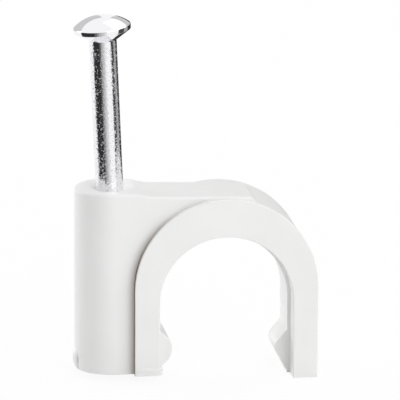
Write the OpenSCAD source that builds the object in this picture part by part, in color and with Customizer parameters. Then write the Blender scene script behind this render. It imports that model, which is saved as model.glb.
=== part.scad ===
// Nail-in cable clip: one moulded hook with a boss for a loose steel nail.
// Millimetres. X runs from the nail to the cable, Y along the cable, Z up from the wall.
// The origin is under the middle of the clip, level with the end of the free leg.

/* [Cable seat] */
// Diameter of the round cable that the hook holds
cable_d = 10; // [6:0.5:16]
// Gap between the cable and the wall
cable_stand_off = 0.7; // [0.5:0.1:2]

/* [Arch] */
// Length of the arch along the cable
arch_depth = 7.05; // [6.5:0.05:12]
// Wall of the two legs, measured at the rims
leg_wall = 1.95; // [1.5:0.05:3]
// How much thicker the crown is than the legs
crown_extra = 1.1; // [0.2:0.1:2]
// How far the flat top of the web runs on past the crown
flat_run = 2.0; // [1:0.1:2.6]
// How far the flat top has fallen below the crown at its end
flat_fall = 0.02; // [0:0.01:0.05]
// Thickness of the grip band inside the arch, and of the lugs on it
grip_t = 3.7; // [3:0.1:4.8]
// Step from the grip band out to the two rims, inside the arch
rim_relief = 0.25; // [0.05:0.05:0.4]
// How far the rims stand out of the bar between them, outside the arch
outer_relief = 0.2; // [0.05:0.05:0.4]
// Rounding along the edges of the rims
rim_round = 0.25; // [0.1:0.05:0.6]
// How far the free leg reaches past the foot on the nail's side
free_leg_extra = 0.55; // [0.1:0.05:1]

/* [Retaining lugs] */
// Height of the nose on the nail's side above the foot
lug_h = 1.75; // [1.4:0.05:2.4]
// How much lower the nose on the free leg lies
free_lug_drop = 0.25; // [0:0.05:0.5]
// How far each nose stands out of the grip band
lug_reach = 0.95; // [0.5:0.05:1.4]
// Nose radius on the nail's side
fixed_lug_round = 1.4; // [0.6:0.1:1.6]
// Nose radius on the free leg
free_lug_round = 0.8; // [0.2:0.1:1.2]
// Slope of the flanks above the noses, from upright
lug_upper_slope = 40; // [30:1:50]
// Slope of the flank below the nose on the nail's side, from upright
fixed_lug_lower_slope = 48; // [35:1:60]
// Slope of the lead-in below the nose on the free leg, from upright
free_lug_lower_slope = 29; // [20:1:40]

/* [Boss and web] */
// Distance from the nail to the side of the cable
nail_offset = 3.65; // [3.4:0.05:6]
// Diameter of the boss round the nail
boss_d = 5.65; // [5.2:0.05:7]
// How far the boss stands above the crown
boss_rise = 0.45; // [0.3:0.05:1]
// Rounding of the boss's upper edge
boss_round = 0.3; // [0.2:0.05:0.6]
// Step from the boss's top down to the top of the web
web_drop = 0.25; // [0.1:0.05:0.4]
// Thickness of the web
web_t = 4.9; // [4:0.1:5.2]
// Thickness of the web at its waist beside the boss
waist_t = 4.6; // [3.6:0.1:4.8]
// Radius of the hollow between the boss and the web
waist_round = 2; // [1.5:0.1:3]
// Diameter of the countersink round the nail
countersink_d = 3.6; // [3:0.1:4.2]
// Depth of the countersink
countersink_depth = 0.25; // [0.1:0.05:1]

/* [Moulding marks] */
// Height of the gate stub on the side of the boss
gate_h = 1.7; // [0.8:0.05:3]
// Width of the gate stub
gate_w = 1.4; // [0.4:0.1:1.6]
// How far the gate stub stands out of the boss
gate_reach = 0.18; // [0.05:0.01:0.4]
// Turn of the gate stub round the boss, towards the front
gate_turn = 6; // [0:1:45]
// Height of the toe at the foot of the inner leg
toe_h = 0.7; // [0.3:0.05:1.2]
// How far the toe stands into the mouth
toe_reach = 0.25; // [0.05:0.05:0.4]

/* [Nail] */
// Diameter of the shank
nail_d = 2.15; // [1.6:0.05:2.4]
// Length of the nail over all
nail_len = 25; // [20:0.5:40]
// How far the nail's point sits above the foot
nail_point_h = 3.15; // [0.5:0.05:4]
// Length of the four-sided point
point_len = 2.6; // [1.5:0.1:4]
// Diameter of the head
head_d = 4.45; // [3.6:0.05:7]
// Height of the dome on the head
dome_h = 0.9; // [0.4:0.05:1.4]
// Thickness of the head at its rim
head_rim = 0.3; // [0.1:0.05:0.6]
// Height of the cone under the head
neck_h = 0.75; // [0.3:0.05:1.5]
// Lean of the nail and of the bore that it was pressed into
nail_lean = 2.5; // [0:0.1:3]
// Gap between the nail and its bore
nail_clearance = 0.04; // [0.02:0.01:0.1]

/* [Hidden] */
$fn = 96;
overlap = 0.5;
flank_tuck = 0.01;
bar_tuck = 0.1;

grip_r = cable_d / 2;
rim_r = grip_r + rim_relief;
arch_r = rim_r + leg_wall;
half_depth = arch_depth / 2;
half_web = web_t / 2;
half_grip = grip_t / 2;
half_bar = half_web - bar_tuck;
bar_r = arch_r - outer_relief;
boss_r = boss_d / 2;
nail_r = nail_d / 2;
head_r = head_d / 2;

// Plan positions: the box round the clip is centred on the origin
nail_to_cable = nail_offset + grip_r;
gate_r = boss_r + gate_reach;
cable_x = (nail_to_cable + gate_r - arch_r) / 2;
nail_x = cable_x - nail_to_cable;

// Heights: the free leg ends at zero, the foot stands a little higher
foot_z = free_leg_extra;
cable_z = foot_z + cable_stand_off + grip_r;
crown_z = cable_z + crown_extra;
arch_top = crown_z + arch_r;
boss_top = arch_top + boss_rise;
lug_z = foot_z + lug_h;

// Centre of the hollow that blends the boss into the waist of the web
waist_y = waist_t / 2 + waist_round;
waist_x = nail_x + sqrt(pow(boss_r + waist_round, 2) - pow(waist_y, 2));
waist_turn = atan2(waist_y, waist_x - nail_x);

// The ring that rounds the boss's edge lies off centre, so that the rounding fades out at the web
edge_fade = boss_round * 0.4;
// The top starts to step down to the web inside the boss's edge, past the end of that rounding
step_start = boss_r * 0.62;

// The nail leans about a point inside the boss, one boss radius below its top
nail_tip = foot_z + nail_point_h;
shank_end = nail_tip + point_len;
head_z = nail_tip + nail_len - dome_h - head_rim;
pivot_z = boss_top - boss_r;
bore_r = nail_r + nail_clearance;
dome_r = (pow(head_r, 2) + pow(dome_h, 2)) / (2 * dome_h);

// Turns a flat outline drawn in X and Z into a solid that is centred on Y
module slab(depth) {
    rotate([90, 0, 0]) linear_extrude(depth, center = true) children();
}

// Half of the arch's section, from the axis out: two rims with rounded corners and the lower bar between
module rim_section() {
    translate([0, -half_bar - overlap]) square([bar_r, 2 * (half_bar + overlap)]);
    for (side = [0, 1]) mirror([0, side]) {
        translate([0, half_bar]) square([arch_r, half_depth - rim_round - half_bar]);
        translate([0, half_bar]) square([arch_r - rim_round, half_depth - half_bar]);
        translate([arch_r - rim_round, half_depth - rim_round]) circle(rim_round);
    }
}

// Half of the opening's section: the grip band, the wider rims and their rounded edges
module opening_section() {
    flare_y = half_depth - rim_round;
    translate([0, -half_depth - overlap]) square([grip_r, arch_depth + 2 * overlap]);
    for (side = [0, 1]) mirror([0, side]) {
        translate([0, half_grip]) square([rim_r, half_depth + overlap - half_grip]);
        difference() {
            translate([0, flare_y]) square([rim_r + rim_round, rim_round + overlap]);
            translate([rim_r + rim_round, flare_y]) circle(rim_round);
        }
    }
}

// A section swept over the top of the arch and straight down both legs to their ends
module arch_sweep(centre_z, fixed_end, free_end) {
    translate([cable_x, 0, centre_z]) rotate([90, 0, 0]) rotate_extrude(angle = 180) children();
    translate([cable_x, 0, fixed_end]) linear_extrude(centre_z - fixed_end) mirror([1, 0]) children();
    translate([cable_x, 0, free_end]) linear_extrude(centre_z - free_end) children();
}

// Outline of the boss and the web seen from above, with the waist between them
module boss_and_web_plan() {
    difference() {
        union() {
            translate([nail_x, 0]) circle(boss_r);
            translate([nail_x, -half_web]) square([nail_to_cable + arch_r, web_t]);
            polygon([[nail_x, 0], [waist_x, -waist_y], [waist_x, waist_y]]);
        }
        for (side = [-1, 1])
            translate([waist_x, side * waist_y]) circle(waist_round);
    }
}

// Side outline of the boss and the web: the top steps down beside the boss
// and ends past the crown in a slope
module boss_and_web_side() {
    left = nail_x - boss_r - overlap;
    flat_end = [cable_x + flat_run, arch_top - flat_fall];
    polygon([
        [left, foot_z], [left, boss_top], [nail_x + step_start, boss_top],
        [nail_x + boss_r, boss_top - web_drop],
        flat_end, flat_end + [leg_wall, -leg_wall], [cable_x, foot_z]
    ]);
}

// Ring that takes the sharp edge off the top of the boss
module boss_edge() {
    ring_r = boss_r + edge_fade - boss_round;
    translate([nail_x + edge_fade, 0, boss_top - boss_round]) rotate(waist_turn)
        rotate_extrude(angle = 360 - 2 * waist_turn) difference() {
            translate([ring_r, 0]) square(boss_round + overlap);
            translate([ring_r, 0]) circle(boss_round);
        }
}

// Turns a piece on the nail's axis to the nail's lean
module lean() {
    translate([nail_x, 0, pivot_z]) rotate([0, -nail_lean, 0]) translate([0, 0, -pivot_z]) children();
}

// Through bore for the nail, with the shallow countersink at its mouth
module nail_bore() {
    lean() translate([0, 0, foot_z - overlap]) cylinder(h = boss_top - foot_z + 2 * overlap, r = bore_r);
    translate([nail_x, 0, boss_top - countersink_depth])
        cylinder(h = countersink_depth + overlap, r1 = bore_r,
            r2 = bore_r + (countersink_d / 2 - bore_r) * (1 + overlap / countersink_depth));
}

// A retaining lug: a round nose between two straight flanks that run into the leg.
// Drawn with the grip band's wall at zero and the nose pointing along +X.
// The flanks lie a hair inside the nose, so that they meet it at a clean edge.
module lug_outline(nose_z, nose_r, lower_slope) {
    centre = [lug_reach - nose_r, nose_z];
    flank_r = nose_r - flank_tuck;
    up = centre + flank_r * [cos(lug_upper_slope), sin(lug_upper_slope)];
    low = centre + flank_r * [cos(lower_slope), -sin(lower_slope)];
    polygon([
        low, up,
        [-overlap, up[1] + (up[0] + overlap) / tan(lug_upper_slope)],
        [-overlap, low[1] - (low[0] + overlap) / tan(lower_slope)]
    ]);
    translate(centre) circle(nose_r);
}

// Both lugs, as deep as the grip band and cut off level with the ends of the legs
module lugs() {
    intersection() {
        slab(grip_t) translate([cable_x - grip_r, 0])
            lug_outline(lug_z, fixed_lug_round, fixed_lug_lower_slope);
        translate([cable_x - arch_r, -half_depth, foot_z]) cube([arch_r, arch_depth, cable_z]);
    }
    intersection() {
        slab(grip_t) translate([cable_x + grip_r, 0]) mirror([1, 0])
            lug_outline(lug_z - free_lug_drop, free_lug_round, free_lug_lower_slope);
        translate([cable_x, -half_depth, 0]) cube([arch_r, arch_depth, cable_z]);
    }
}

// Round-topped stub that the moulding gate leaves near the foot of the boss
module gate_stub() {
    half_w = gate_w / 2;
    translate([nail_x, 0, foot_z]) intersection() {
        cylinder(h = gate_h, r = gate_r);
        rotate(gate_turn) rotate([0, -90, 0]) linear_extrude(gate_r) {
            translate([0, -half_w]) square([gate_h - half_w, gate_w]);
            translate([gate_h - half_w, 0]) circle(half_w);
        }
    }
}

// Low toe along the inner foot of the leg on the nail's side
module toe() {
    translate([cable_x - rim_r - overlap, rim_round - half_depth, foot_z])
        cube([overlap + toe_reach, arch_depth - 2 * rim_round, toe_h]);
}

module clip_body() {
    color("#ececec") difference() {
        union() {
            difference() {
                union() {
                    arch_sweep(crown_z, foot_z, 0) rim_section();
                    intersection() {
                        slab(boss_d) boss_and_web_side();
                        linear_extrude(boss_top + overlap) boss_and_web_plan();
                    }
                }
                arch_sweep(cable_z, -overlap, -overlap) opening_section();
                boss_edge();
            }
            lugs();
            toe();
            gate_stub();
        }
        nail_bore();
    }
}

// The domed head, with its thin rim and the cone below it
module nail_head() {
    intersection() {
        translate([0, 0, head_rim + dome_h - dome_r]) sphere(dome_r);
        cylinder(h = head_rim + dome_h + overlap, r = head_r);
    }
    translate([0, 0, -neck_h]) cylinder(h = neck_h, r1 = nail_r, r2 = head_r);
}

// One pair of the faces that make the point
module point_wedge() {
    slab(nail_d) polygon([[0, 0], [nail_r, point_len], [-nail_r, point_len]]);
}

module nail() {
    color("#b9bcc0") lean() {
        translate([0, 0, head_z]) nail_head();
        translate([0, 0, shank_end]) cylinder(h = head_z - shank_end, r = nail_r);
        translate([0, 0, nail_tip]) intersection() {
            cylinder(h = point_len, r = nail_r);
            point_wedge();
            rotate(90) point_wedge();
        }
    }
}

clip_body();
nail();
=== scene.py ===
import math

import bmesh
import bpy
from mathutils import Matrix, Vector


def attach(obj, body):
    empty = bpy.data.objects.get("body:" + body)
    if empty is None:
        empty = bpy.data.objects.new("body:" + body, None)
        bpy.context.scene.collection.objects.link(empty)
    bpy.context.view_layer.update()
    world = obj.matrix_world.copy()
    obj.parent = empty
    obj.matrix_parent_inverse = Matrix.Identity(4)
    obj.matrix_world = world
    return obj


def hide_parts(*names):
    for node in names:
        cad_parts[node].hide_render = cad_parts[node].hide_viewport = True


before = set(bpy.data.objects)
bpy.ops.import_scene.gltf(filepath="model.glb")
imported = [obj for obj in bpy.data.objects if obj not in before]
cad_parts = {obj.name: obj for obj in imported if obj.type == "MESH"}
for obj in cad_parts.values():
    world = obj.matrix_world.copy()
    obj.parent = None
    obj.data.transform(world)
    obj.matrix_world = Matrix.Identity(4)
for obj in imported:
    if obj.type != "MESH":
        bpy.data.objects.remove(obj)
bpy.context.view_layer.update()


# Arch: the hook itself, one thick U of white moulded plastic with a fine lip round its face.
# The opening's centre lies lower than the outside's, so the crown is thicker than the legs. Inside, a
# low grip band bears on the cable. The moulding is drawn in millimetres and brought to metres later.
cable_x = 2.2275
cable_z = 6.25
crown_z = 7.35
arch_r = 7.2
bar_r = 7.09
rim_r = 5.25
grip_r = 5.0
half_depth = 3.525
lip_y = -3.05
half_band = 1.85
foot_z = 0.55
free_leg_z = 0.0
rim_round = 0.1
lip_round = 0.06
band_round = 0.06
buried_r = 2.0
round_steps = 6
arch_steps = 64
near = 1e-3
level = 0.9
up = (0, 0, 1)
forward = (0, 1, 0)


def clear_selection():
    """Leaves edit mode and drops every selection."""
    if bpy.context.object and bpy.context.object.mode != "OBJECT":
        bpy.ops.object.mode_set(mode="OBJECT")
    bpy.ops.object.select_all(action="DESELECT")


def pick(kind, test):
    """Selects only the vertices, edges or faces of the piece in edit mode that pass the test."""
    modes = {"verts": "VERT", "edges": "EDGE", "faces": "FACE"}
    bpy.ops.mesh.select_mode(type=modes[kind])
    bpy.ops.mesh.select_all(action="DESELECT")
    mesh = bpy.context.object.data
    shape = bmesh.from_edit_mesh(mesh)
    for part in getattr(shape, kind):
        if test(part):
            part.select_set(True)
    shape.select_flush_mode()
    bmesh.update_edit_mesh(mesh)


def pen_down(name, point):
    """Starts an outline with one vertex."""
    clear_selection()
    bpy.ops.mesh.primitive_plane_add(size=1, location=point)
    bpy.ops.object.transform_apply(location=True, rotation=True, scale=True)
    bpy.context.object.name = name
    bpy.ops.object.mode_set(mode="EDIT")
    bpy.ops.mesh.select_mode(type="VERT")
    bpy.ops.mesh.select_all(action="SELECT")
    bpy.ops.mesh.merge(type="CENTER")
    return bpy.context.object


def pen_line(move):
    bpy.ops.mesh.extrude_vertices_move(TRANSFORM_OT_translate={"value": move})


def pen_arc(centre, axis, degrees, steps):
    bpy.ops.mesh.spin(steps=steps, angle=-math.radians(degrees), center=centre, axis=axis)


def pen_up():
    """Closes the outline and fills it with one face."""
    bpy.ops.mesh.select_all(action="SELECT")
    bpy.ops.mesh.remove_doubles(threshold=near)
    bpy.ops.mesh.select_all(action="SELECT")
    bpy.ops.mesh.edge_face_add()


def face_out():
    """Turns all faces of the piece outwards."""
    bpy.ops.mesh.select_all(action="SELECT")
    bpy.ops.mesh.remove_doubles(threshold=near)
    bpy.ops.mesh.normals_make_consistent(inside=False)


def pull(move):
    """Extrudes everything in the piece by one move."""
    bpy.ops.mesh.select_mode(type="FACE")
    bpy.ops.mesh.select_all(action="SELECT")
    bpy.ops.mesh.extrude_region_move(TRANSFORM_OT_translate={"value": move})
    face_out()


def run_over(centre_z, ends):
    """Sweeps a section over the top of the arch and straight down both legs to their ends."""
    bpy.ops.mesh.select_all(action="SELECT")
    pen_arc((cable_x, 0, centre_z), forward, -180, arch_steps)
    for side, end_z in zip((-1, 1), ends):
        pick("faces", lambda f: abs(f.normal.z) > level
             and abs(f.calc_center_median().z - centre_z) < near
             and side * (f.calc_center_median().x - cable_x) > 0)
        bpy.ops.mesh.extrude_region_move(TRANSFORM_OT_translate={"value": (0, 0, end_z - centre_z)})
    face_out()


def combine(target, tool, operation):
    """Joins the tool to the target, or cuts it away, and removes the tool."""
    clear_selection()
    bpy.context.view_layer.objects.active = target
    target.select_set(True)
    step = target.modifiers.new(operation.lower(), "BOOLEAN")
    step.operation = operation
    step.solver = "EXACT"
    step.object = tool
    bpy.ops.object.modifier_apply(modifier=step.name)
    bpy.data.objects.remove(tool)


def at(radius, depth, height):
    """A point of the arch's section, drawn on the side of the free leg."""
    return Vector((cable_x + radius, depth, height))


rim_corner = half_depth - rim_round
arch = pen_down("arch", at(buried_r, -half_depth, crown_z))
pen_line((arch_r - rim_round - buried_r, 0, 0))
pen_arc(at(arch_r - rim_round, -rim_corner, crown_z), up, 90, round_steps)
pen_line((0, lip_y - lip_round + rim_corner, 0))
pen_arc(at(arch_r - lip_round, lip_y - lip_round, crown_z), up, 90, round_steps)
pen_line((bar_r + lip_round - arch_r, 0, 0))
pen_line((0, rim_corner - lip_y, 0))
pen_arc(at(bar_r - rim_round, rim_corner, crown_z), up, 90, round_steps)
pen_line((buried_r + rim_round - bar_r, 0, 0))
pen_up()
run_over(crown_z, (foot_z, free_leg_z))

# The opening is cut out with the band and the rounded inner edges of the rims in its section.
beyond = 1.0
rim_gap = 0.005
flare = half_depth - rim_round + rim_gap
band_corner = half_band - band_round
opening = pen_down("opening", at(buried_r / 2, -half_depth - beyond, cable_z))
pen_line((rim_r + rim_round - buried_r / 2, 0, 0))
pen_line((0, half_depth + beyond - flare - rim_round, 0))
pen_arc(at(rim_r + rim_round, -flare, cable_z), up, -90, round_steps)
pen_line((0, flare - half_band, 0))
pen_line((grip_r + band_round - rim_r, 0, 0))
pen_arc(at(grip_r + band_round, -band_corner, cable_z), up, -90, round_steps)
pen_line((0, 2 * band_corner, 0))
pen_arc(at(grip_r + band_round, band_corner, cable_z), up, -90, round_steps)
pen_line((rim_r - grip_r - band_round, 0, 0))
pen_line((0, flare - half_band, 0))
pen_arc(at(rim_r + rim_round, flare, cable_z), up, -90, round_steps)
pen_line((0, half_depth + beyond - flare - rim_round, 0))
pen_line((buried_r / 2 - rim_r - rim_round, 0, 0))
pen_up()
run_over(cable_z, (-beyond, -beyond))
combine(arch, opening, "DIFFERENCE")


# Boss and web: the round post that guides the nail, and the thick wall that ties it to the arch.
# In front the wall runs on flush from the round of the boss, behind it is set in. The boss's top steps
# down to the wall's, which falls slowly towards the crown and ends past it in a slope.
nail_x = -6.4225
boss_r = 2.87
boss_top = 15.0
step_start = 1.75
web_back = 2.1
web_top = 14.78
waist_r = 4.0
flat_end_x = 4.2275
flat_end_z = 14.51
web_past = 2.2
slope_run = 3.0
cutter_room = 2.0
cutter_height = 6.0
top_round = 0.25
foot_round = 0.08
boss_steps = 112
waist_steps = 14
corner_angle = 0.6
wall_lift = 0.2
top_lift = 0.5
slope_depth = 2.5


def middle(edge):
    return (edge.verts[0].co + edge.verts[1].co) / 2


def is_corner(edge):
    """True where two faces meet at a clear angle."""
    return edge.is_manifold and edge.calc_face_angle() > corner_angle


def round_edges(test, radius, segments):
    """Rounds the edges that pass the test."""
    pick("edges", test)
    bpy.ops.mesh.bevel(offset=radius, segments=segments, profile=0.5, affect="EDGES")


waist_y = web_back + waist_r
waist_gap = math.sqrt((boss_r + waist_r) ** 2 - waist_y ** 2)
waist_turn = math.degrees(math.atan2(waist_y, waist_gap))
waist_x = nail_x + waist_gap
web_end = flat_end_x + web_past
meet = Vector((math.cos(math.radians(waist_turn)), math.sin(math.radians(waist_turn)), 0)) * boss_r

post = pen_down("post", (nail_x + meet.x, meet.y, foot_z))
pen_arc((nail_x, 0, foot_z), up, 270 - waist_turn, boss_steps)
pen_line((web_end - nail_x, 0, 0))
pen_line((0, boss_r + web_back, 0))
pen_line((waist_x - web_end, 0, 0))
pen_arc((waist_x, waist_y, foot_z), up, waist_turn - 90, waist_steps)
pen_up()
pull((0, 0, boss_top - foot_z))

shoulder = pen_down("shoulder", (nail_x + step_start, -half_depth, boss_top))
pen_line((boss_r - step_start, 0, web_top - boss_top))
pen_line((flat_end_x - nail_x - boss_r, 0, flat_end_z - web_top))
pen_line((slope_run, 0, -slope_run))
pen_line((cutter_room, 0, 0))
pen_line((0, 0, cutter_height))
pen_line((nail_x + step_start - flat_end_x - slope_run - cutter_room, 0, 0))
pen_up()
pull((0, 2 * half_depth, 0))
combine(post, shoulder, "DIFFERENCE")
bpy.ops.object.mode_set(mode="EDIT")


def top_edge(edge):
    """True for the outline of the flat top and of its sloping end."""
    lifts = [face.normal.z for face in edge.link_faces]
    high_up = middle(edge).z > flat_end_z - slope_depth
    return high_up and min(lifts) < wall_lift and max(lifts) > top_lift


round_edges(lambda e: is_corner(e) and top_edge(e), top_round, 6)
round_edges(lambda e: is_corner(e) and middle(e).z < foot_z + near, foot_round, 2)

# Only the wall outside the opening stays: what the arch and the grip band bury is cut out.
clear_r = 5.6
below = -2.0

core = pen_down("core", (cable_x - clear_r, -half_depth, below))
pen_line((0, 0, cable_z - below))
pen_arc((cable_x, -half_depth, cable_z), forward, 180, arch_steps)
pen_line((0, 0, below - cable_z))
pen_up()
pull((0, 2 * half_depth, 0))
combine(post, core, "DIFFERENCE")


# Retaining lugs: two noses inside the mouth that the cable snaps past. The one on the boss's side is
# full and round and comes out close to the face, the one on the free leg is sharper with a long lead-in
# and as wide as the grip band.
lug_back = 1.84
lug_root = 0.7
lug_round = 0.1


def lug(name, wall_x, side, face_y, reach, nose_z, nose_r, upper, lower, steps):
    """A nose on the wall at wall_x, pointing along side, with flanks at the given slopes from upright."""
    nose_x = reach - nose_r
    low_turn = math.radians(lower)
    high_turn = math.radians(upper)
    low = (nose_x + nose_r * math.cos(low_turn), nose_z - nose_r * math.sin(low_turn))
    high = (nose_x + nose_r * math.cos(high_turn), nose_z + nose_r * math.sin(high_turn))
    low_z = low[1] - low[0] / math.tan(low_turn)
    high_z = high[1] + high[0] / math.tan(high_turn)
    piece = pen_down(name, (wall_x - side * lug_root, face_y, low_z))
    pen_line((side * lug_root, 0, 0))
    pen_line((side * low[0], 0, low[1] - low_z))
    pen_arc((wall_x + side * nose_x, face_y, nose_z), forward, -side * (lower + upper), steps)
    pen_line((-side * high[0], 0, high_z - high[1]))
    pen_line((-side * lug_root, 0, 0))
    pen_line((0, 0, low_z - high_z))
    pen_up()
    pull((0, lug_back - face_y, 0))
    round_edges(lambda e: is_corner(e) and not face_y + near < middle(e).y < lug_back - near, lug_round, 3)
    return piece


fixed_lug = lug(
    "fixed_lug", wall_x=cable_x - grip_r, side=1, face_y=-2.7, reach=0.83,
    nose_z=2.46, nose_r=1.4, upper=46, lower=45, steps=20)
free_lug = lug(
    "free_lug", wall_x=cable_x + grip_r, side=-1, face_y=-lug_back, reach=0.95,
    nose_z=2.05, nose_r=0.8, upper=40, lower=29, steps=14)


# Toe: a low rough lump of the same plastic that the mould leaves along the inner foot of the leg beside
# the boss. Lumps both finer and stronger than these could not be fused with the rest of the moulding.
toe_low = Vector((-4.85, -3.6, foot_z + 0.02))
toe_high = Vector((-2.77, 3.3, 1.23))
toe_round = 0.2
lump_size = 0.4
lump_height = 0.22
lump_level = 0.6

clear_selection()
bpy.ops.mesh.primitive_cube_add(size=1, location=(toe_low + toe_high) / 2)
toe = bpy.context.object
toe.name = "toe"
toe.scale = toe_high - toe_low
bpy.ops.object.transform_apply(location=True, rotation=True, scale=True)
bpy.ops.object.mode_set(mode="EDIT")
round_edges(lambda e: middle(e).x > toe_high.x - near or middle(e).z > toe_high.z - near, toe_round, 4)
bpy.ops.mesh.select_all(action="SELECT")
bpy.ops.mesh.subdivide(number_cuts=4)
bpy.ops.object.mode_set(mode="OBJECT")
lumps = bpy.data.textures.new("toe lumps", "CLOUDS")
lumps.noise_scale = lump_size
swell = toe.modifiers.new("lumps", "DISPLACE")
swell.texture = lumps
swell.texture_coords = "GLOBAL"
swell.strength = lump_height
swell.mid_level = lump_level
bpy.ops.object.modifier_apply(modifier=swell.name)


# Gate stub: the leaf-shaped scar near the foot of the boss where the plastic was let into the mould.
# Beside it a narrow slit is left, where the gate tore away from the round of the boss.
stub_turn = math.radians(6)
stub_z = 1.4
stub_size = Vector((0.5, 0.78, 0.9))
stub_reach = 0.175
slit_turn = math.radians(19)
slit_depth = 0.2
slit_half = 0.07
slit_draft = 0.014
slit_top = 1.95
slit_taper = 0.45
slit_length = 1.2
slit_out = 0.6
down = Vector((0, 0, -1))

clear_selection()
bpy.ops.mesh.primitive_uv_sphere_add(segments=40, ring_count=24, radius=1)
stub = bpy.context.object
stub.name = "stub"
stub.scale = stub_size
outward = Vector((-math.cos(stub_turn), -math.sin(stub_turn), 0))
stub.location = Vector((nail_x, 0, stub_z)) + outward * (boss_r + stub_reach - stub_size.x)
stub.rotation_euler.z = stub_turn
bpy.ops.object.transform_apply(location=True, rotation=True, scale=True)

outward = Vector((-math.cos(slit_turn), -math.sin(slit_turn), 0))
along = Vector((-outward.y, outward.x, 0))
slit_start = Vector((nail_x, 0, slit_top)) + outward * (boss_r - slit_depth)
slit = pen_down("slit", slit_start)
pen_line(along * slit_half + down * slit_taper)
pen_line(along * -slit_draft + down * slit_length)
pen_line(along * -2 * (slit_half - slit_draft))
pen_line(along * -slit_draft - down * slit_length)
pen_line(along * slit_half - down * slit_taper)
pen_up()
pull(outward * (slit_depth + slit_out))


# The moulding is one piece: everything is fused. The nail has been pressed in at a slight lean, so the
# bore leans with it, and a shallow countersink opens its mouth.
nail_lean = 2.5
lean_z = boss_top - boss_r
bore_r = 1.078
countersink_r = 1.75
countersink_depth = 0.2
bore_steps = 72
bore_past = 1.0

clip = arch
clip.name = "clip"
for part in (post, fixed_lug, free_lug, toe, stub):
    combine(clip, part, "UNION")
combine(clip, slit, "DIFFERENCE")


def turn_round(steps):
    """Spins the drawn profile into a closed round piece on the nail's axis."""
    bpy.ops.mesh.select_all(action="SELECT")
    pen_arc((nail_x, 0, 0), up, 360, steps)
    face_out()


def lean(degrees, height):
    """Tips what is selected towards the boss's far side, about a level line at that height."""
    bpy.ops.transform.rotate(
        value=math.radians(degrees), orient_axis="Y", center_override=(nail_x, 0, height))


bore = pen_down("bore", (nail_x, 0, foot_z - bore_past))
pen_line((bore_r, 0, 0))
pen_line((0, 0, boss_top - foot_z + 2 * bore_past))
pen_line((-bore_r, 0, 0))
turn_round(bore_steps)
bpy.ops.mesh.select_all(action="SELECT")
lean(nail_lean, lean_z)
combine(clip, bore, "DIFFERENCE")

widening = (countersink_r - bore_r) / countersink_depth
mouth = pen_down("mouth", (nail_x, 0, boss_top - countersink_depth))
pen_line((bore_r, 0, 0))
pen_line((2 * widening * countersink_depth, 0, 2 * countersink_depth))
pen_line((-bore_r - 2 * widening * countersink_depth, 0, 0))
turn_round(bore_steps)
combine(clip, mouth, "DIFFERENCE")

mm = 0.001
weld = 2e-3
flat_turn = 0.1


def finish_mesh(piece, angle):
    """Brings a piece drawn in millimetres to metres and shades it, with its flat faces kept flat."""
    clear_selection()
    bpy.context.view_layer.objects.active = piece
    piece.select_set(True)
    bpy.ops.object.mode_set(mode="EDIT")
    bpy.ops.mesh.select_all(action="SELECT")
    bpy.ops.mesh.remove_doubles(threshold=weld)
    bpy.ops.mesh.select_all(action="SELECT")
    bpy.ops.mesh.dissolve_limited(angle_limit=math.radians(flat_turn))
    bpy.ops.object.mode_set(mode="OBJECT")
    piece.scale = (mm, mm, mm)
    bpy.ops.object.transform_apply(location=True, rotation=True, scale=True)
    bpy.ops.object.shade_smooth_by_angle(angle=math.radians(angle))
    even = piece.modifiers.new("flat faces", "WEIGHTED_NORMAL")
    even.keep_sharp = True
    even.weight = 100
    bpy.ops.object.modifier_apply(modifier=even.name)


finish_mesh(clip, 32)


def between(tree, source, start, end, low=0, high=1):
    """Runs from low to high as the source runs from start to end."""
    node = tree.nodes.new("ShaderNodeMapRange")
    limits = {"From Min": start, "From Max": end, "To Min": low, "To Max": high}
    for socket, value in limits.items():
        node.inputs[socket].default_value = value
    tree.links.new(source, node.inputs["Value"])
    return node.outputs["Result"]


def product(tree, first, second):
    node = tree.nodes.new("ShaderNodeMath")
    node.operation = "MULTIPLY"
    tree.links.new(first, node.inputs[0])
    tree.links.new(second, node.inputs[1])
    return node.outputs["Value"]


plastic = bpy.data.materials.new("white moulded plastic")
plastic.use_nodes = True
tree = plastic.node_tree
nodes = tree.nodes
links = tree.links
shader = nodes["Principled BSDF"]
place = nodes.new("ShaderNodeTexCoord")
shader.inputs["IOR"].default_value = 1.49
cloud = nodes.new("ShaderNodeTexNoise")
cloud.inputs["Scale"].default_value = 260
cloud.inputs["Detail"].default_value = 3
links.new(place.outputs["Object"], cloud.inputs["Vector"])
tint = nodes.new("ShaderNodeValToRGB")
tint.color_ramp.elements[0].position = 0.3
tint.color_ramp.elements[0].color = (0.83, 0.828, 0.822, 1)
tint.color_ramp.elements[1].position = 0.7
tint.color_ramp.elements[1].color = (0.86, 0.859, 0.856, 1)
links.new(cloud.outputs["Fac"], tint.inputs["Fac"])

# Painted shade: a warm darkening painted into the corner between the wall and the rim, where the rim
# shades the wall. It is darkest on the rim's side, lightens over the wall with the distance from it, and
# fades out over the arch.
painted_shade_inside = 0.05
painted_shade_width = 0.6
rim_face = (-3.48, -3.38)
wall_face = (-2.4, -2.2)
arch_fade = (-7.0, -4.2)
# The warm dark tone of the painted shade in the corner, not a colour of the plastic itself.
painted_shade_color = (0.25, 0.185, 0.125, 1)

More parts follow.
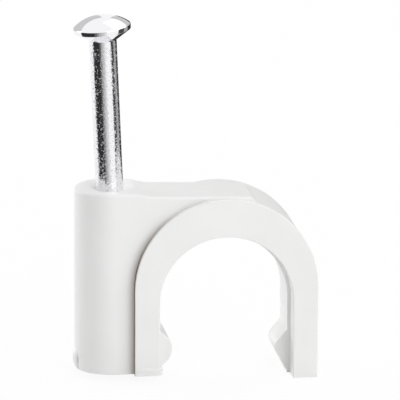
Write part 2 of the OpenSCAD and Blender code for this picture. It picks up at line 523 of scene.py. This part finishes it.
off_axis = nodes.new("ShaderNodeVectorMath")
off_axis.operation = "SUBTRACT"
off_axis.inputs[1].default_value = (cable_x * mm, 0, crown_z * mm)
links.new(place.outputs["Object"], off_axis.inputs[0])
split = nodes.new("ShaderNodeSeparateXYZ")
links.new(off_axis.outputs["Vector"], split.inputs["Vector"])
rise = nodes.new("ShaderNodeMath")
rise.operation = "MAXIMUM"
rise.inputs[1].default_value = 0
links.new(split.outputs["Z"], rise.inputs[0])
spoke = nodes.new("ShaderNodeCombineXYZ")
links.new(split.outputs["X"], spoke.inputs["X"])
links.new(rise.outputs["Value"], spoke.inputs["Z"])
reach = nodes.new("ShaderNodeVectorMath")
reach.operation = "LENGTH"
links.new(spoke.outputs["Vector"], reach.inputs[0])
painted_shade_start = (arch_r - painted_shade_inside) * mm
painted_shade_end = (arch_r + painted_shade_width) * mm
gap = between(tree, reach.outputs["Value"], painted_shade_start, painted_shade_end)
corner_shade = nodes.new("ShaderNodeValToRGB")
corner_shade.color_ramp.elements[0].position = 0
corner_shade.color_ramp.elements[0].color = (0, 0, 0, 1)
corner_shade.color_ramp.elements[1].position = 1
corner_shade.color_ramp.elements[1].color = (0, 0, 0, 1)
# Ramp stops: how dark the painted shade is at each distance out from the rim.
for place_on_wall, darkness in ((0.03, 1), (0.085, 1), (0.11, 0.38), (0.5, 0.14)):
    stop = corner_shade.color_ramp.elements.new(place_on_wall)
    stop.color = (darkness, darkness, darkness, 1)
links.new(gap, corner_shade.inputs["Fac"])
on_rim = between(tree, split.outputs["Y"], rim_face[0] * mm, rim_face[1] * mm)
on_wall = between(tree, split.outputs["Y"], wall_face[0] * mm, wall_face[1] * mm, 1, 0)
on_arch = between(tree, split.outputs["X"], arch_fade[0] * mm, arch_fade[1] * mm, 1, 0)
painted_shade = corner_shade.outputs["Color"]
for limit in (on_rim, on_wall, on_arch):
    painted_shade = product(tree, painted_shade, limit)
# Mixes the painted corner shade into the plastic's base colour.
shaded_base = nodes.new("ShaderNodeMix")
shaded_base.data_type = "RGBA"
shaded_base.inputs["B"].default_value = painted_shade_color
links.new(painted_shade, shaded_base.inputs["Factor"])
links.new(tint.outputs["Color"], shaded_base.inputs["A"])
links.new(shaded_base.outputs["Result"], shader.inputs["Base Color"])
grain = nodes.new("ShaderNodeTexNoise")
grain.inputs["Scale"].default_value = 9000
grain.inputs["Detail"].default_value = 2
links.new(place.outputs["Object"], grain.inputs["Vector"])
gloss = between(tree, grain.outputs["Fac"], 0, 1, 0.38, 0.5)
links.new(gloss, shader.inputs["Roughness"])
skin = nodes.new("ShaderNodeBump")
skin.inputs["Strength"].default_value = 0.03
skin.inputs["Distance"].default_value = 0.00002
links.new(grain.outputs["Fac"], skin.inputs["Height"])
links.new(skin.outputs["Normal"], shader.inputs["Normal"])
clip.data.materials.clear()
clip.data.materials.append(plastic)

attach(clip, "root")
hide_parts("clip_body")


# Nail: zinc-plated steel wire with an upset domed head, a cone under it and a cut four-sided point.
# It stands in the boss, leaning a little away from the cable, until it is driven. The head was upset
# slightly out of square, so it is tipped a little more than the shank.
nail_r = 1.075
nail_tip = 3.7
nail_length = 25.0
point_length = 2.6
head_r = 2.225
dome_h = 0.84
head_rim = 0.36
neck_h = 0.75
rim_soft = 0.04
head_tip = 3.5
nail_steps = 96
dome_steps = 18

head_z = nail_tip + nail_length - dome_h - head_rim
dome_r = (head_r ** 2 + dome_h ** 2) / (2 * dome_h)
dome_turn = math.degrees(math.asin(head_r / dome_r))
nail = pen_down("nail_wire", (nail_x, 0, nail_tip))
pen_line((nail_r, 0, 0))
pen_line((0, 0, head_z - neck_h - nail_tip))
pen_line((head_r - nail_r, 0, neck_h))
pen_line((0, 0, head_rim))
pen_arc((nail_x, 0, head_z + head_rim + dome_h - dome_r), forward, -dome_turn, dome_steps)
turn_round(nail_steps)
round_edges(
    lambda e: is_corner(e) and head_z - near < middle(e).z < head_z + head_rim + near, rim_soft, 3)
for turn in range(4):
    facing = math.radians(90 * turn + 45)
    bpy.ops.mesh.select_all(action="SELECT")
    bpy.ops.mesh.bisect(
        plane_co=(nail_x, 0, nail_tip), use_fill=True, clear_outer=True,
        plane_no=(point_length * math.cos(facing), point_length * math.sin(facing), -nail_r))
pick("verts", lambda v: v.co.z > head_z - neck_h / 2)
lean(head_tip, head_z)
bpy.ops.mesh.select_all(action="SELECT")
lean(nail_lean, lean_z)
finish_mesh(nail, 40)

rough_top = 26.2
smooth_from = 27.0
zinc = bpy.data.materials.new("bright zinc plating")
zinc.use_nodes = True
tree = zinc.node_tree
nodes = tree.nodes
links = tree.links
shader = nodes["Principled BSDF"]
shader.inputs["Metallic"].default_value = 1
place = nodes.new("ShaderNodeTexCoord")
grain = nodes.new("ShaderNodeTexNoise")
grain.inputs["Scale"].default_value = 6800
grain.inputs["Detail"].default_value = 2
links.new(place.outputs["Object"], grain.inputs["Vector"])
height = nodes.new("ShaderNodeSeparateXYZ")
links.new(place.outputs["Object"], height.inputs["Vector"])
below_head = between(tree, height.outputs["Z"], rough_top * mm, smooth_from * mm, 1, 0)
spots = between(tree, grain.outputs["Fac"], 0.52, 0.66)
dull = product(tree, spots, below_head)
tone = nodes.new("ShaderNodeValToRGB")
tone.color_ramp.elements[0].color = (0.91, 0.91, 0.93, 1)
tone.color_ramp.elements[1].color = (0.74, 0.74, 0.78, 1)
links.new(dull, tone.inputs["Fac"])
links.new(tone.outputs["Color"], shader.inputs["Base Color"])
polish = between(tree, dull, 0, 1, 0.07, 0.7)
links.new(polish, shader.inputs["Roughness"])
pits = nodes.new("ShaderNodeMath")
pits.operation = "MULTIPLY"
pits.inputs[1].default_value = 0.45
links.new(below_head, pits.inputs[0])
dents = nodes.new("ShaderNodeBump")
dents.inputs["Distance"].default_value = 0.00004
links.new(pits.outputs["Value"], dents.inputs["Strength"])
links.new(grain.outputs["Fac"], dents.inputs["Height"])
links.new(dents.outputs["Normal"], shader.inputs["Normal"])
nail.data.materials.clear()
nail.data.materials.append(zinc)

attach(nail, "root")
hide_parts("nail")


# Stage: a wide white table that runs out to a white surround, so the clip stands free on white.
# The camera and polished metal see the table as nearly plain white, with a faint share of the shadow.
white_share = 0.92
room_light = 0.53


def seen_directly(tree):
    """Is 1 for what the camera sees and for what shows in a reflection."""
    path = tree.nodes.new("ShaderNodeLightPath")
    seen = tree.nodes.new("ShaderNodeMath")
    seen.operation = "MAXIMUM"
    tree.links.new(path.outputs["Is Camera Ray"], seen.inputs[0])
    tree.links.new(path.outputs["Is Glossy Ray"], seen.inputs[1])
    return seen.outputs["Value"]


clear_selection()
bpy.ops.mesh.primitive_plane_add(size=4, location=(0, 0, 0))
floor = bpy.context.object
floor.name = "floor"
table = bpy.data.materials.new("white table")
table.use_nodes = True
nodes = table.node_tree.nodes
links = table.node_tree.links
shader = nodes["Principled BSDF"]
shader.inputs["Base Color"].default_value = (0.88, 0.88, 0.88, 1)
shader.inputs["Roughness"].default_value = 0.9
white = nodes.new("ShaderNodeEmission")
white.inputs["Color"].default_value = (1, 1, 1, 1)
share = nodes.new("ShaderNodeMath")
share.operation = "MULTIPLY"
share.inputs[1].default_value = white_share
links.new(seen_directly(table.node_tree), share.inputs[0])
blend = nodes.new("ShaderNodeMixShader")
links.new(share.outputs["Value"], blend.inputs["Fac"])
links.new(shader.outputs["BSDF"], blend.inputs[1])
links.new(white.outputs["Emission"], blend.inputs[2])
links.new(blend.outputs["Shader"], nodes["Material Output"].inputs["Surface"])
floor.data.materials.append(table)

world = bpy.data.worlds.new("white studio")
bpy.context.scene.world = world
world.use_nodes = True
nodes = world.node_tree.nodes
links = world.node_tree.links
room = nodes["Background"]
room.inputs["Color"].default_value = (1, 1, 1, 1)
room.inputs["Strength"].default_value = room_light
sweep = nodes.new("ShaderNodeBackground")
sweep.inputs["Color"].default_value = (1, 1, 1, 1)
blend = nodes.new("ShaderNodeMixShader")
links.new(seen_directly(world.node_tree), blend.inputs["Fac"])
links.new(room.outputs["Background"], blend.inputs[1])
links.new(sweep.outputs["Background"], blend.inputs[2])
links.new(blend.outputs["Shader"], nodes["World Output"].inputs["Surface"])

# Boards: dark and grey boards on arcs round the nail, out of the camera's sight. They show only in
# reflections, mostly as the dark stripes and soft tones along the shank and the grey at the head's rim.
near_ring = 26
near_low = 0.2
near_high = 32
far_ring = 60
far_low = 13
far_high = 72


def board(name, start, end, tone, distance=near_ring, low=near_low, high=near_high):
    """A board between two directions, counted in degrees from the front towards the cable."""
    first = math.radians(start)
    piece = pen_down(name, (nail_x + distance * math.sin(first), -distance * math.cos(first), low))
    pen_line((0, 0, high - low))
    bpy.ops.mesh.select_all(action="SELECT")
    pen_arc((nail_x, 0, 0), up, end - start, 12)
    bpy.ops.object.mode_set(mode="OBJECT")
    piece.scale = (mm, mm, mm)
    bpy.ops.object.transform_apply(location=True, rotation=True, scale=True)
    paint = bpy.data.materials.new(name)
    paint.use_nodes = True
    finish = paint.node_tree.nodes["Principled BSDF"]
    finish.inputs["Base Color"].default_value = (0, 0, 0, 1)
    finish.inputs["Specular IOR Level"].default_value = 0
    finish.inputs["Emission Color"].default_value = (tone, tone, tone, 1)
    finish.inputs["Emission Strength"].default_value = 1
    piece.data.materials.append(paint)
    piece.visible_camera = False
    piece.visible_diffuse = False
    piece.visible_shadow = False


board("board_left", -97, -38, 0.03)
board("board_left_2", -38, -28, 0.13)
board("board_left_3", -28, -20, 0.3)
board("board_left_4", -20, -12, 0.47)
board("board_left_5", -12, -4, 0.57)
board("board_left_6", -4, 4, 0.68)
board("board_left_7", 4, 12, 0.86)
board("board_right", 58, 88, 0.07)
board("board_right_2", 88, 112, 0.42)
board("board_right_3", 112, 168, 0.04)
board("board_back", 110, 166, 0.62, far_ring, far_low, far_high)
board("board_back_2", 178, 234, 0.62, far_ring, far_low, far_high)


def lamp(name, azimuth, elevation, distance, size, watts):
    """A square soft box, placed round the object by its direction and turned to face it."""
    a = math.radians(azimuth)
    e = math.radians(elevation)
    aim = Vector((0, 0, 0.008))
    towards = Vector((math.sin(a) * math.cos(e), -math.cos(a) * math.cos(e), math.sin(e)))
    light = bpy.data.lights.new(name, "AREA")
    light.size = size
    light.energy = watts
    holder = bpy.data.objects.new(name, light)
    bpy.context.scene.collection.objects.link(holder)
    holder.location = aim + towards * distance
    holder.rotation_euler = towards.to_track_quat("Z", "Y").to_euler()
    return holder


lamp("key soft box", azimuth=38, elevation=31, distance=0.35, size=0.32, watts=0.62)
lamp("fill soft box", azimuth=-135, elevation=14, distance=0.35, size=0.3, watts=0.78)
lamp("back soft box", azimuth=125, elevation=52, distance=0.35, size=0.3, watts=0.35)

# Camera: a long lens a little to the left of the clip's face and above it, aimed at the cable's middle
# and then shifted, so that the clip stands in the frame as it should.
camera_azimuth = math.radians(-8.03)
camera_elevation = math.radians(14.4)
camera_roll = math.radians(0.2)
camera_distance = 0.516
camera_aim = Vector((cable_x, 0, cable_z)) * mm
aim_left = 0.001632
aim_up = 0.007134

lens = bpy.data.cameras.new("long lens")
lens.lens = 593
lens.sensor_width = 36
lens.clip_start = 0.01
camera = bpy.data.objects.new("camera", lens)
bpy.context.scene.collection.objects.link(camera)
camera_tilt = math.radians(90) - camera_elevation
turned = Matrix.Rotation(camera_azimuth, 3, "Z") @ Matrix.Rotation(camera_tilt, 3, "X")
camera.location = camera_aim + turned @ Vector((-aim_left, aim_up, camera_distance))
camera.rotation_euler = (turned @ Matrix.Rotation(camera_roll, 3, "Z")).to_euler()
bpy.context.scene.camera = camera
bpy.context.scene.view_settings.view_transform = "Standard"
